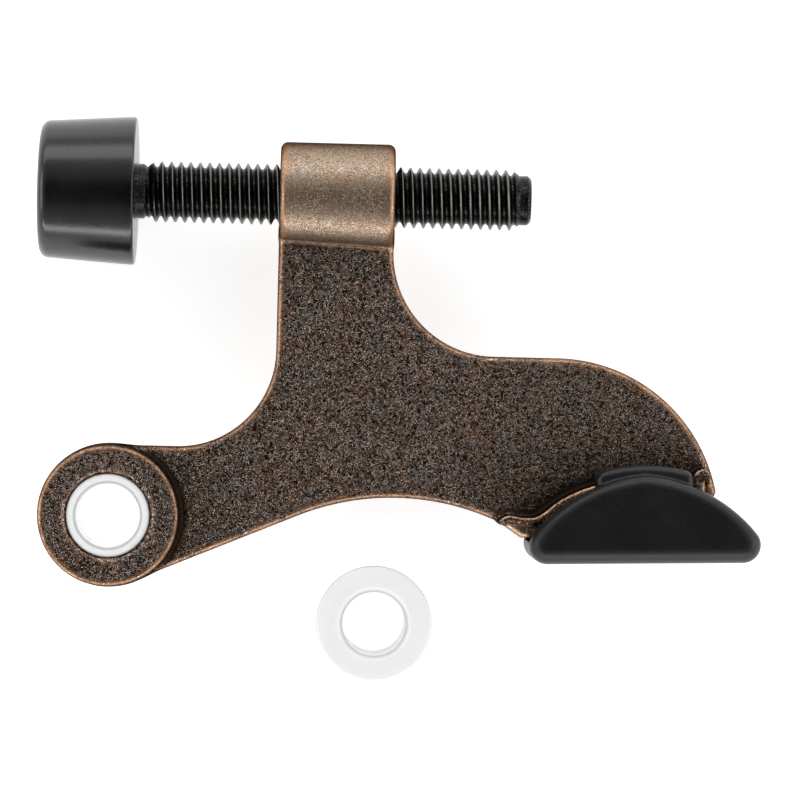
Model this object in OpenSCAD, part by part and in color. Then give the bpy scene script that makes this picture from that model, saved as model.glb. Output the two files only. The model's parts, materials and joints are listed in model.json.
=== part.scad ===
// Hinge-pin door stop: a die-cast body that hangs on a door's hinge pin, with a
// screw-adjusted bumper for the door and a rubber foot for the wall trim.
//
// Frame: the part lies flat. +Z runs along the hinge pin, +X along the adjusting
// screw, and the origin is the centre of the hinge-pin eye at the plate's mid-plane.

/* [Adjusting screw] */
// Nominal thread diameter (M8)
thread_d = 8; // [7:0.5:9]
// Thread pitch
pitch = 1.25; // [1:0.05:1.5]
// Root diameter of the thread, and of the plain point
root_d = 6.5; // [6:0.1:6.9]
// Diameter of the plain shank next to the bumper
shank_d = 7.2; // [6:0.1:7.8]
// Height of the screw's axis above the eye
screw_y = 42.4; // [40:0.1:46]
// Where the thread starts
thread_start = 3.9; // [3:0.1:6]
// Number of thread turns
thread_turns = 39; // [36:1:40]
// Length of the plain point after the thread
point_len = 1.5; // [0.8:0.1:3]
// Diameter of the head that sits inside the bumper
head_d = 11; // [9:0.5:13]
// Thickness of that head
head_t = 2.5; // [1.5:0.5:4]

/* [Bumper cap] */
// Diameter at the face that meets the door
cap_face_d = 18; // [16:0.2:19]
// Diameter at the back, over the screw's shank
cap_back_d = 19.4; // [18:0.2:20]
// Where the door face is
cap_face_x = -10.1; // [-12:0.1:-9]
// Where the back face is
cap_back_x = 2.5; // [1.5:0.1:3]
// Rounding of the rim at the door face
cap_round = 1.3; // [0.5:0.1:2]

/* [Cast body] */
// Thickness of the plate
plate_t = 5; // [4:0.5:6]
// Diameter of the eye at mid-thickness
eye_d = 18.6; // [18.2:0.1:19.5]
// Diameter of the eye at its two end faces (the wall is drafted)
eye_face_d = 17.8; // [17:0.1:18.1]
// Length of the eye along the hinge pin
eye_t = 11; // [9:0.5:13]
// Bore of the eye, which holds the bushing
eye_bore_d = 11; // [10.5:0.1:11.2]
// Diameter of the threaded boss
boss_d = 13.8; // [12:0.2:15]
// Where the boss starts along the screw
boss_x = 21.3; // [20:0.1:22]
// Length of the boss, which is also the width of the neck
boss_len = 15; // [14:0.1:16]
// Rounding of the boss's rims
boss_round = 1.2; // [0.5:0.1:2]
// Radius of the hollow between the eye and the neck
inner_r = 12.8; // [11:0.1:13]
// Radius of the hollow between the neck and the shoulder
outer_r = 13.4; // [12:0.1:14]
// Height of the shoulder's top edge
shoulder_y = 21.85; // [21:0.1:23]
// Radius of the shoulder's round end
shoulder_r = 21.45; // [20:0.1:22]
// Centre of the shoulder's round end, along the screw
shoulder_x = 58.2; // [57:0.1:59]
// Radius of the arch under the arm
arch_r = 33; // [31:0.5:35]
// Where the top of the arch is, along the screw
arch_x = 37.5; // [36:0.5:39]
// Height of the top of the arch
arch_y = 3.1; // [2.5:0.1:3.5]

/* [Rubber foot] */
// Centre of the foot's contact face
foot_x = 69.8; // [69:0.1:72]
// Height of the foot's contact face
foot_y = -4.5; // [-5.5:0.1:-4]
// Tilt of the contact face
foot_tilt = 1.7; // [0:0.1:4]
// Length of the contact face
foot_len = 30; // [28:0.2:32]
// Depth of the foot along the hinge pin
foot_depth = 19.4; // [17:0.2:20]
// Height of the two half-moon cheeks
cheek_h = 11; // [10:0.1:12]
// Radius of the cheeks' round top
cheek_r = 19.6; // [19:0.1:21]
// Thickness of the sole
sole_t = 2.5; // [2:0.1:3]
// Depth of the metal foot inside the rubber
core_depth = 13.2; // [11:0.2:14]
// Length of the lips that hook over the metal foot
lip_len = 12.6; // [10:0.2:14]
// How far the lips stand above the cheeks
lip_h = 1.8; // [1:0.1:2.2]

/* [Nylon bushings] */
// Hole for the hinge pin
pin_hole_d = 8.2; // [7.8:0.1:8.6]
// Diameter of the flange
flange_d = 15.2; // [13:0.2:17]
// Thickness of the flange
flange_t = 1.5; // [1:0.1:2]
// Length of the sleeve
sleeve_len = 10.8; // [8:0.1:10.8]
// Chamfer at both ends of the hole
lead_in = 0.7; // [0.3:0.1:0.9]
// Centre of the loose bushing
loose_xy = [34.9, -13.4];

/* [Hidden] */
$fn = 96;
// Running clearance between the screw and what it turns in
run = 0.05;
// Clearance between pieces that only rest against each other
gap = 0.05;
// Clearance round the sleeve in the eye
slip = 0.08;
// Extra length that takes a cutter clear through
past = 1;
// Height of the surface that the whole set lies on
floor_z = -foot_depth / 2;
thread_end = thread_start + thread_turns * pitch;
screw_end = thread_end + point_len;
// The head's two faces along the screw
head_back = cap_back_x - 5.5;
head_front = head_back - head_t;
boss_end = boss_x + boss_len;
// Radius that the plate's edge keeps round the eye
eye_edge_r = eye_d / 2 - 0.15;
// Centre of the arch's circle, and the slope of the line from it to the eye
arch_c = [arch_x, arch_y - arch_r];
arm_slope = atan2(arch_c.x, -arch_c.y) - acos((eye_edge_r + arch_r) / norm(arch_c));
shoulder_c = [shoulder_x, shoulder_y - shoulder_r];
// In the foot's own frame, x runs along the contact face and y away from it
cheek_c = [0, cheek_h - cheek_r];
// The metal foot's top: its proud rim, and the lower heel that the rubber covers
rim_r = cheek_r + 0.9;
heel_r = cheek_r - 1.2;
// Half-angles, from the cheeks' centre, of the lips, the rim's toe end and the heel
lip_a = asin(lip_len / 2 / rim_r);
toe_a = 34;
heel_end_a = 46;

// Points of an arc round c, from angle a0 to a1
function arc(c, r, a0, a1, n = 24) =
    [for (i = [0:n]) let (a = a0 + (a1 - a0) * i / n) c + r * [cos(a), sin(a)]];

// The point of a circle round c at angle a
function on(c, r, a) = c + r * [cos(a), sin(a)];

// Places its children in the foot's own frame
module at_foot() {
    translate([foot_x, foot_y, 0]) rotate(foot_tilt) children();
}

// Turns a profile round the screw's axis: the profile's x is the radius, its y the way along
module round_screw() {
    translate([0, screw_y, 0]) rotate([0, 90, 0]) rotate_extrude() children();
}

// A slab of a flat outline, as thick as t and centred on z = 0
module slab(t) {
    translate([0, 0, -t / 2]) linear_extrude(t) children();
}

// The plate's outline, from the eye round the arch, the foot, the shoulder and the neck
module plate_outline() {
    toe = [foot_x - 16, foot_y + 2.8];
    heel = [foot_x + 9.1, foot_y + 8.7];
    polygon(concat(
        [[0, 0], on([0, 0], eye_edge_r, arm_slope - 90)],
        arc(arch_c, arch_r, 90 + arm_slope, 66),
        [toe, toe + [2, 0], heel - [0, 5], heel],
        arc(shoulder_c, shoulder_r, 12, 90),
        arc([boss_end + outer_r, shoulder_y + outer_r], outer_r, 270, 180),
        [[boss_end, screw_y], [boss_x, screw_y]],
        arc([boss_x - inner_r, eye_edge_r + inner_r], inner_r, 0, -90),
        [[0, eye_edge_r]]
    ));
}

// The eye: two drafted halves that meet at the plate's mid-plane
module eye() {
    for (side = [0, 1]) mirror([0, 0, side])
        cylinder(h = eye_t / 2, d1 = eye_d, d2 = eye_face_d);
}

// The eye's bore, with a chamfer at both mouths
module eye_bore() {
    chamfer = 0.5;
    cylinder(h = eye_t + 2 * past, d = eye_bore_d, center = true);
    for (side = [0, 1]) mirror([0, 0, side])
        translate([0, 0, eye_t / 2 - chamfer])
            cylinder(h = chamfer * 2, d1 = eye_bore_d, d2 = eye_bore_d + chamfer * 4);
}

// The boss, with round rims
module boss() {
    r = boss_d / 2;
    round_screw() polygon(concat(
        [[0, boss_x]],
        arc([r - boss_round, boss_x + boss_round], boss_round, -90, 0, 8),
        arc([r - boss_round, boss_end - boss_round], boss_round, 0, 90, 8),
        [[0, boss_end]]
    ));
}

// The metal foot's outline: a flared toe, a proud rim, and a heel inside the rubber
module core_outline(grow = 0) {
    polygon(concat(
        [[-14.5 - grow, sole_t + gap - grow], [-19 - grow, 5.6], [-18.4, 6.6 + grow], [-14, 6.6 + grow]],
        arc(cheek_c, rim_r + grow, 90 + toe_a, 90 - lip_a),
        [[7.1, 12.3 + grow], [8.2 + grow, 12.1 + grow]],
        arc(cheek_c, heel_r + grow, 65, 90 - heel_end_a, 12),
        [[13.8 + grow, sole_t + gap - grow]]
    ));
}

// What a lip fills above the cheek: a short stretch of ring round the cheeks' centre
module lip_outline(grow = 0) {
    intersection() {
        difference() {
            translate(cheek_c) circle(cheek_r + lip_h + grow);
            translate(cheek_c) circle(cheek_r - 0.6 - grow);
        }
        translate([-lip_len / 2 - grow, 0]) square([lip_len + 2 * grow, 2 * cheek_h]);
    }
}

module cast_body() {
    color("#5a4334") difference() {
        union() {
            slab(plate_t) plate_outline();
            eye();
            boss();
            at_foot() slab(core_depth) core_outline();
        }
        eye_bore();
        // the boss's tapped hole, as a plain hole that clears the thread's crests
        round_screw() translate([0, boss_x - past])
            square([thread_d / 2 + run, boss_len + 2 * past]);
        // the notches that the rubber's lips pass through
        at_foot() for (side = [0, 1]) mirror([0, 0, side])
            translate([0, 0, plate_t / 2]) linear_extrude(core_depth) lip_outline(gap);
    }
}

module adjusting_screw() {
    crest = thread_d / 2;
    root = root_d / 2;
    flat = pitch / 8;
    chamfer = 0.4;
    color("#17171a") round_screw() polygon(concat(
        [[0, head_front], [head_d / 2, head_front], [head_d / 2, head_back]],
        [[shank_d / 2, head_back], [shank_d / 2, thread_start]],
        // one V groove for each turn, at the thread's own pitch
        [for (i = [0:thread_turns - 1]) let (x = thread_start + i * pitch)
            each [[root, x + flat], [crest, x + pitch / 2 - flat / 2],
                [crest, x + pitch / 2 + flat / 2], [root, x + pitch - flat]]],
        [[root, screw_end - chamfer], [root - chamfer, screw_end], [0, screw_end]]
    ));
}

module bumper_cap() {
    face_r = cap_face_d / 2;
    back_r = cap_back_d / 2;
    rim = 0.3;
    shank_r = shank_d / 2 + run;
    pocket_r = head_d / 2 + run;
    color("#1b1b1d") round_screw() polygon(concat(
        [[0, cap_face_x]],
        arc([face_r - cap_round, cap_face_x + cap_round], cap_round, -90, 0, 8),
        [[back_r, cap_back_x - rim], [back_r - rim, cap_back_x]],
        [[shank_r, cap_back_x], [shank_r, head_back + run], [pocket_r, head_back + run]],
        [[pocket_r, head_front - run], [0, head_front - run]]
    ));
}

// One cheek's outline: a half-moon with round lower corners
module cheek_outline() {
    corner = 2.5;
    half = foot_len / 2 - corner;
    meet = asin((foot_len / 2 - 0.6) / cheek_r);
    polygon(concat(
        arc([-half, corner], corner, 190, 270, 8),
        arc([half, corner], corner, 270, 350, 8),
        arc(cheek_c, cheek_r, 90 - meet, 90 + meet)
    ));
}

module foot_pad() {
    lip_depth = foot_depth - 3.4;
    color("#1d1d1f") at_foot() {
        difference() {
            union() {
                slab(foot_depth) cheek_outline();
                slab(lip_depth) lip_outline();
            }
            // the pocket that the metal foot fills, and the slot for the plate above it
            difference() {
                slab(core_depth + 2 * gap) core_outline(gap);
                difference() {
                    slab(core_depth + past) lip_outline();
                    slab(plate_t + 2 * gap) square(8 * cheek_h, center = true);
                }
            }
            slab(plate_t + 2 * gap) translate([-lip_len, sole_t]) square([2 * lip_len, 2 * cheek_h]);
        }
    }
}

// A flanged nylon bushing, with its flange's outer face on z = 0 and its sleeve upwards
module bushing() {
    edge = 0.3;
    hole_r = pin_hole_d / 2;
    sleeve_r = eye_bore_d / 2 - slip;
    top = flange_t + sleeve_len;
    color("#f4f4f2") rotate_extrude() polygon([
        [hole_r + lead_in, 0], [flange_d / 2 - edge, 0], [flange_d / 2, edge],
        [flange_d / 2, flange_t - edge], [flange_d / 2 - edge, flange_t],
        [sleeve_r, flange_t], [sleeve_r, top - edge], [sleeve_r - edge, top],
        [hole_r + lead_in, top], [hole_r, top - lead_in], [hole_r, lead_in]
    ]);
}

module fitted_bushing() {
    translate([0, 0, -eye_t / 2 - flange_t - gap]) bushing();
}

module loose_bushing() {
    translate([loose_xy.x, loose_xy.y, floor_z + flange_t + sleeve_len]) rotate([180, 0, 0]) bushing();
}

cast_body();
adjusting_screw();
bumper_cap();
foot_pad();
fitted_bushing();
loose_bushing();
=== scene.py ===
"""A hinge-pin door stop: antique copper casting, black screw, rubber bumper and foot, nylon bushings.

All sizes in the classes below are in millimetres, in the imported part's own frame: the part lies flat,
+Z along the hinge pin, +X along the adjusting screw, and the origin is the centre of the hinge-pin eye.
"""

import json
import logging
import math
from dataclasses import dataclass, field
from enum import Enum
from functools import partial
from itertools import product
from typing import Callable, Optional

import bmesh
import bpy
import numpy as np
from mathutils import Matrix, Vector


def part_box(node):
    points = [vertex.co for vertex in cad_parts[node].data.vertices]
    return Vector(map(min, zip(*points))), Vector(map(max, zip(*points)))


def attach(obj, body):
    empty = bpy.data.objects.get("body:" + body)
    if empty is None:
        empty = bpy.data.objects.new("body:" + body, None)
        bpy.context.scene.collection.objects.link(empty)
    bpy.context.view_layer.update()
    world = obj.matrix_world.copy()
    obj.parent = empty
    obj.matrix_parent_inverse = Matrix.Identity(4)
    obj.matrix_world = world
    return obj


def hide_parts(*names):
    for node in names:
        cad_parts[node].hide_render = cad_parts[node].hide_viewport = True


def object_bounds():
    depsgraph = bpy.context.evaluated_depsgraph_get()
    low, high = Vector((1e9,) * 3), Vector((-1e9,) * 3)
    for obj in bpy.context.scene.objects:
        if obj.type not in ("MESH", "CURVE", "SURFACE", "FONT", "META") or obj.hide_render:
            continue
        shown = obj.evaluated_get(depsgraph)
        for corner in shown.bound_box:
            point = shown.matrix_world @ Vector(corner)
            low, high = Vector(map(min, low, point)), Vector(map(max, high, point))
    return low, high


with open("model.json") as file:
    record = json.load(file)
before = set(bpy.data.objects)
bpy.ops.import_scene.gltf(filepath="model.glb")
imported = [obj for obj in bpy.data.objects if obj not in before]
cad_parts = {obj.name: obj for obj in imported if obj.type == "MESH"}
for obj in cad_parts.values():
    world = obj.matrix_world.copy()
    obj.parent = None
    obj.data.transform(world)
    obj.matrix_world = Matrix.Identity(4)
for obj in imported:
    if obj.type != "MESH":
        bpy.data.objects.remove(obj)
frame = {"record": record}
CAD_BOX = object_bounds()

MM = 0.001
TURN = 2 * math.pi
# turns the distance from a chamfer, measured along an axis, to the distance straight off it
SLANT = math.sqrt(0.5)
MATHS = "ShaderNodeMath"
# a range's inputs are the value, the two ends of what it spans, and what those two become
RANGE = "ShaderNodeMapRange"
SMOOTH = {"interpolation_type": "SMOOTHSTEP"}

log = logging.getLogger("door_stop")

Point2 = tuple[float, float]
Distance = Callable[[np.ndarray, np.ndarray, np.ndarray], np.ndarray]
Socket = bpy.types.NodeSocket


# ---------------------------------------------------------------- colours and nodes


def linear(colour: str) -> tuple[float, float, float, float]:
    """Turns an sRGB hex colour to linear RGBA.

    Args:
        colour: the colour, such as "#a0714f".

    Returns:
        Its red, green, blue and alpha, each from 0 to 1.
    """
    channels = (int(colour[i : i + 2], 16) / 255 for i in (1, 3, 5))
    red, green, blue = (c / 12.92 if c <= 0.04045 else ((c + 0.055) / 1.055) ** 2.4 for c in channels)
    return red, green, blue, 1.0


def add_node(tree: bpy.types.NodeTree, kind: str, inputs: object = (), out: object = 0,
             **settings: object) -> Optional[Socket]:
    """Adds a node to a tree, sets it up and links it.

    Args:
        tree: the node tree.
        kind: the node's type.
        inputs: sockets to link from or values to set, in order, or by the inputs' names or numbers.
        out: the name or number of the output that is wanted.
        settings: the node's own properties.

    Returns:
        That output, or None from a node that has no outputs.
    """
    node = tree.nodes.new(kind)
    for name, value in settings.items():
        setattr(node, name, value)
    for name, value in (inputs if isinstance(inputs, dict) else dict(enumerate(inputs))).items():
        if isinstance(value, Socket):
            tree.links.new(value, node.inputs[name])
        else:
            node.inputs[name].default_value = value
    return node.outputs[out] if len(node.outputs) else None


@dataclass
class Finish:
    """What the finishes share: a material with one Principled shader, and coordinates in millimetres."""

    name: str
    material: bpy.types.Material = field(init=False)

    def start(self, constants: dict[str, object]) -> None:
        """Makes the material and sets the constants on its shader's own sockets.

        Args:
            constants: values by the Principled shader's socket names.
        """
        self.material = bpy.data.materials.new(self.name)
        self.material.use_nodes = True
        self.tree = self.material.node_tree
        self.add = partial(add_node, self.tree)
        self.shader = self.tree.nodes["Principled BSDF"]
        for name, value in constants.items():
            self.shader.inputs[name].default_value = value
        place = self.add("ShaderNodeTexCoord", out="Object")
        self.mm = self.add("ShaderNodeVectorMath", {0: place, "Scale": 1 / MM}, operation="SCALE")

    def grains(self, per_mm: float, detail: float = 2.0, rough: float = 0.5, twist: float = 0.0,
               turn: float = 0.0, stretch: float = 1.0, shift: float = 0.0) -> Socket:
        """Makes a pattern of grains.

        Args:
            per_mm: how many grains there are in a millimetre.
            detail: how many finer layers it has.
            rough: how strong the finer layers are.
            twist: how much it curls.
            turn: the angle in degrees that its grains lie at.
            stretch: how many times longer than wide the grains are.
            shift: moves the pattern, so that two of the same kind differ.

        Returns:
            The pattern's strength, about 0.2 to 0.8.
        """
        place = self.mm
        if turn or shift:
            turned = self.add("ShaderNodeMapping", {"Vector": place, "Rotation": (0, 0, math.radians(turn)),
                                                    "Location": (shift, shift, shift)})
            place = self.add("ShaderNodeVectorMath", (turned, (1 / stretch, 1, 1 / math.sqrt(stretch))),
                             operation="MULTIPLY")
        return self.add("ShaderNodeTexNoise", {"Vector": place, "Scale": per_mm, "Detail": detail,
                                               "Roughness": rough, "Distortion": twist}, out="Fac")

    def painted(self, colour: object, *coats: tuple[object, object]) -> Socket:
        """Lays coats of colour over a first one.

        Args:
            colour: the first colour, a socket or a hex colour.
            coats: for each coat in order, how much of it shows, from 0 to 1, and its colour.

        Returns:
            The result's colour.
        """
        for share, coat in coats:
            under, over = (linear(c) if isinstance(c, str) else c for c in (colour, coat))
            colour = self.add("ShaderNodeMix", {0: share, 6: under, 7: over}, out=2, data_type="RGBA")
        return colour

    def finished(self, colour: Socket, roughness: Socket, height: Socket,
                 depth_mm: float) -> bpy.types.Material:
        """Links the finish's patterns to its shader.

        Args:
            colour: the base colour.
            roughness: the roughness.
            height: the surface's height, from 0 to 1.
            depth_mm: how deep that is.

        Returns:
            The material.
        """
        normal = self.add("ShaderNodeBump", {"Height": height, "Distance": depth_mm * MM, "Strength": 1.0})
        for name, value in (("Base Color", colour), ("Roughness", roughness), ("Normal", normal)):
            self.tree.links.new(value, self.shader.inputs[name])
        return self.material


@dataclass
class AntiqueCopperPlate(Finish):
    """Zinc die casting, copper plated, blackened and tumbled.

    The eye sees near-black brown oxide with bright flecks and short scratches where the tumbling
    stones cut through it to the copper, and warm rubbed copper along every edge.
    """

    name: str = "antique_copper_plated_zinc_tumbled"
    soot: str = "#261c17"
    oxide_warm: str = "#886b57"
    oxide_cool: str = "#72665f"
    fleck: str = "#e3d3c5"
    tan: str = "#9a714f"
    silver: str = "#a9a398"
    copper: str = "#a37a5c"
    bright: str = "#dcc3a6"
    low_angle: str = "#857b75"

    def make(self) -> bpy.types.Material:
        """Builds the material.

        Returns:
            The material.
        """
        # the dark oxide keeps the metal from mirroring the light at a low angle
        self.start({"Metallic": 1.0, "Specular Tint": linear(self.low_angle)})
        add, grains = self.add, self.grains
        wear_and_painted_highlights, crease, painted_shade_near_walls, side, handled = (
            add("ShaderNodeAttribute", out="Fac", attribute_name=name)
            for name in ("wear_and_painted_highlights", "crease", "painted_shade_near_walls", "side", "handled"))
        # cloudy oxide, 2 to 4 mm across
        cloud = add(RANGE, (grains(0.3, detail=4, rough=0.65), 0.38, 0.64), **SMOOTH)
        oxide = self.painted(self.oxide_cool, (cloud, self.oxide_warm))
        # the tumbled grain is about 0.1 mm; drawn at about 0.3 mm, so that it shows
        grain = grains(3.0, detail=2, rough=0.6, twist=0.9)
        tops = add(RANGE, (grain, 0.44, 0.57), **SMOOTH)
        cuts, marks = self.tumbled()
        # worn patches of about 2 mm, broken up by specks of about 0.2 mm
        patches = add(RANGE, (grains(0.45, detail=2, shift=23.3), 0.35, 0.65, -0.12, 0.12), **SMOOTH)
        specks = add(RANGE, (grains(4.6, detail=3, rough=0.8, shift=3.7), 0.35, 0.65, -0.34, 0.13), **SMOOTH)
        rubbed = add(MATHS, (wear_and_painted_highlights, add(MATHS, (patches, specks), operation="ADD")), operation="ADD")
        worn = add(RANGE, (rubbed, 0.12, 0.5), **SMOOTH)
        brightest = add(RANGE, (rubbed, 0.5, 0.85, 0, 0.6), **SMOOTH)
        exposed = add(RANGE, (crease, 0.04, 0.4, 1, 0.2), **SMOOTH)
        # hands polish the boss most: its grain is rubbed to bare metal between specks of brown
        silver = add(RANGE, (grains(5.2, detail=2, rough=0.7, shift=9.1), 0.42, 0.58), **SMOOTH)
        kept = add(RANGE, (grain, 0.36, 0.54, 0.6, 1.0), **SMOOTH)
        polished = add(MATHS, (handled, kept), operation="MULTIPLY")
        # painted shade: the flecks fade beside walls and on the flange, and in dark corners
        marks = add(MATHS, (marks, add(MATHS, (painted_shade_near_walls, -0.6, exposed), operation="MULTIPLY_ADD")),
                    operation="MULTIPLY")
        marks = add(MATHS, (marks, add(MATHS, (polished, -0.7, 1.0), operation="MULTIPLY_ADD")),
                    operation="MULTIPLY")
        # soot in the corners, and painted shade on faces that turn sideways
        soot_and_side_shade = add(MATHS, (add(MATHS, (1.0, exposed), operation="SUBTRACT"),
                            add(MATHS, (side, 0.8), operation="MULTIPLY")), operation="MAXIMUM")
        # painted shade: the soot colour is laid beside walls and on the foot's flange
        colour = self.painted(
            self.soot, (tops, oxide), (add(MATHS, (painted_shade_near_walls, 0.95), operation="MULTIPLY"), self.soot),
            (polished, self.painted(self.tan, (silver, self.silver))), (marks, self.fleck),
            (add(MATHS, (worn, 0.85), operation="MULTIPLY"), self.copper), (brightest, self.bright),
            (soot_and_side_shade, self.soot))
        # what is cut, worn or polished is smooth, unless soot or the painted side shade covers it
        shine = add(MATHS, (add(MATHS, (silver, polished), operation="MULTIPLY"), 0.55), operation="MULTIPLY")
        for bare in (add(MATHS, (worn, 0.6), operation="MULTIPLY"), marks):
            shine = add(MATHS, (shine, bare), operation="MAXIMUM")
        shine = add(MATHS, (shine, add(MATHS, (1.0, soot_and_side_shade), operation="SUBTRACT")), operation="MULTIPLY")
        return self.finished(colour, add(RANGE, (shine, 0, 1, 0.48, 0.2), **SMOOTH),
                             add(MATHS, (cuts, 0.3, grain), operation="MULTIPLY_ADD"), 0.035)

    def tumbled(self) -> tuple[Socket, Socket]:
        """Draws where the tumbling stones cut through the oxide.

        Returns:
            The small cuts alone, and the cuts, dots and scratches together.
        """
        add, grains = self.add, self.grains
        cuts = add(RANGE, (grains(3.4, detail=1, rough=0.6, twist=1.8, shift=7.3), 0.6, 0.67), **SMOOTH)
        dots = add(RANGE, (grains(2.4, detail=1, shift=17.9), 0.72, 0.79), **SMOOTH)
        together = add(MATHS, (cuts, dots), operation="MAXIMUM")
        sparse = add(RANGE, (grains(0.8, detail=1, shift=5.1), 0.5, 0.62), **SMOOTH)
        for turn, shift in ((24, 0.0), (71, 13.1), (118, 29.7), (163, 41.9)):
            # tumbling scratches, 0.5 to 1 mm long and 0.1 mm wide
            long_grains = grains(6.5, detail=1, turn=turn, stretch=6, shift=shift)
            scratch = add(RANGE, (long_grains, 0.68, 0.78), **SMOOTH)
            together = add(MATHS, (together, add(MATHS, (scratch, sparse), operation="MULTIPLY")),
                           operation="MAXIMUM")
        return cuts, together


@dataclass
class BlackOxideSteel(Finish):
    """Steel, thread rolled, black oxide finish, oiled: near black with soft grey glints on the crests."""

    name: str = "black_oxide_steel_rolled"
    black: str = "#161618"
    glint: str = "#77756f"

    def make(self) -> bpy.types.Material:
        """Builds the material.

        Returns:
            The material.
        """
        self.start({"Metallic": 1.0})
        add = self.add
        # rolling leaves fine pores of about 0.1 mm; drawn at 0.2 mm, so that they show
        pores = self.grains(5.0, detail=3, rough=0.6)
        # painted highlight: the crests are painted in the grey glint colour
        crest = add("ShaderNodeAttribute", out="Fac", attribute_name="crest")
        rubbed = add(MATHS, (add(RANGE, (crest, 0.7, 1.0), **SMOOTH), 0.8), operation="MULTIPLY")
        colour = self.painted(self.black, (add(RANGE, (pores, 0.4, 0.8, 0, 0.35), **SMOOTH), self.glint),
                              (rubbed, self.glint))
        return self.finished(colour, add(RANGE, (pores, 0.3, 0.7, 0.24, 0.34), **SMOOTH), pores, 0.004)


class Tool(Enum):
    """The surface of the tool that rubber is moulded against: its name, roughness and specular level."""

    MATT = ("matt", 0.4, 0.4)
    SATIN = ("satin", 0.2, 0.6)


@dataclass
class MouldedRubber(Finish):
    """Black rubber, injection moulded against a satin or a matt tool: dark with a broad soft sheen."""

    name: str = "black_rubber_moulded"
    tool: Tool = Tool.MATT
    black: str = "#08080a"
    bloom: str = "#101011"
    grain_mm: float = 0.25

    def make(self) -> bpy.types.Material:
        """Builds the material.

        Returns:
            The material.
        """
        surface, roughness, specular = self.tool.value
        self.name += "_" + surface
        self.start({"Specular IOR Level": specular})
        # faint bloom in patches of about 5 mm, and the tool's fine grain
        bloom = self.add(RANGE, (self.grains(0.2, detail=3), 0.35, 0.7), **SMOOTH)
        grain = self.grains(1 / self.grain_mm)
        rough = self.add(RANGE, (grain, 0.3, 0.7, roughness - 0.04, roughness + 0.06), **SMOOTH)
        return self.finished(self.painted(self.black, (bloom, self.bloom)), rough, grain, 0.006)


@dataclass
class NaturalNylon(Finish):
    """Nylon 6/6, injection moulded, undyed: milky white, slightly see-through at its edges, satin."""

    name: str = "natural_nylon_moulded"
    white: str = "#fcfcfa"
    milk: str = "#f6f7f6"
    edge: str = "#c4c7c7"

    def make(self) -> bpy.types.Material:
        """Builds the material.

        Returns:
            The material.
        """
        self.start({"Subsurface Weight": 0.4, "Subsurface Scale": 0.8 * MM,
                    "Subsurface Radius": (1.0, 1.0, 1.0)})
        cloud = self.add(RANGE, (self.grains(0.35), 0.35, 0.7), **SMOOTH)
        # painted shade: the flange's rim and the rings round the hole are painted grey, where their edges let
        # the light through
        edge_shade_share = self.add("ShaderNodeAttribute", out="Fac", attribute_name="painted_edge_shade")
        # the tool's satin grain is about 0.05 mm; drawn at 0.3 mm, so that it shows
        grain = self.grains(3.3)
        rough = self.add(RANGE, (grain, 0.3, 0.7, 0.32, 0.46), **SMOOTH)
        return self.finished(self.painted(self.white, (cloud, self.milk), (edge_shade_share, self.edge)), rough, grain,
                             0.003)


# ---------------------------------------------------------------- shapes as distances


@dataclass(frozen=True)
class Line:
    """A straight stretch of an outline."""

    start: Point2
    end: Point2

    def distance(self, x: np.ndarray, y: np.ndarray) -> np.ndarray:
        """Distance from each point to the stretch.

        Args:
            x: the points' places across.
            y: their places up.

        Returns:
            The distances.
        """
        (ax, ay), (bx, by) = self.start, self.end
        dx, dy = bx - ax, by - ay
        along = np.clip(((x - ax) * dx + (y - ay) * dy) / max(dx * dx + dy * dy, 1e-12), 0, 1)
        return np.hypot(x - ax - along * dx, y - ay - along * dy)

    def points(self) -> list[Point2]:
        """The stretch as points, without its last."""
        return [self.start]


@dataclass(frozen=True)
class Arc:
    """A round stretch of an outline, from angle a0 to a1 in degrees."""

    centre: Point2
    radius: float
    a0: float
    a1: float
    steps: int = 64

    def at(self, angle: float) -> Point2:
        """The arc's circle at an angle in degrees."""
        turn = math.radians(angle)
        return self.centre[0] + self.radius * math.cos(turn), self.centre[1] + self.radius * math.sin(turn)

    def distance(self, x: np.ndarray, y: np.ndarray) -> np.ndarray:
        """Distance from each point to the stretch.

        Args:
            x: the points' places across.
            y: their places up.

        Returns:
            The distances.
        """
        dx, dy = x - self.centre[0], y - self.centre[1]
        middle = math.radians((self.a0 + self.a1) / 2)
        off = (np.arctan2(dy, dx) - middle + math.pi) % TURN - math.pi
        within = np.abs(off) <= math.radians(abs(self.a1 - self.a0) / 2)
        (ax, ay), (bx, by) = self.at(self.a0), self.at(self.a1)
        ends = np.minimum(np.hypot(x - ax, y - ay), np.hypot(x - bx, y - by))
        return np.where(within, np.abs(np.hypot(dx, dy) - self.radius), ends)

    def points(self) -> list[Point2]:
        """The stretch as points, without its last."""
        return [self.at(self.a0 + (self.a1 - self.a0) * i / self.steps) for i in range(self.steps)]


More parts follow.
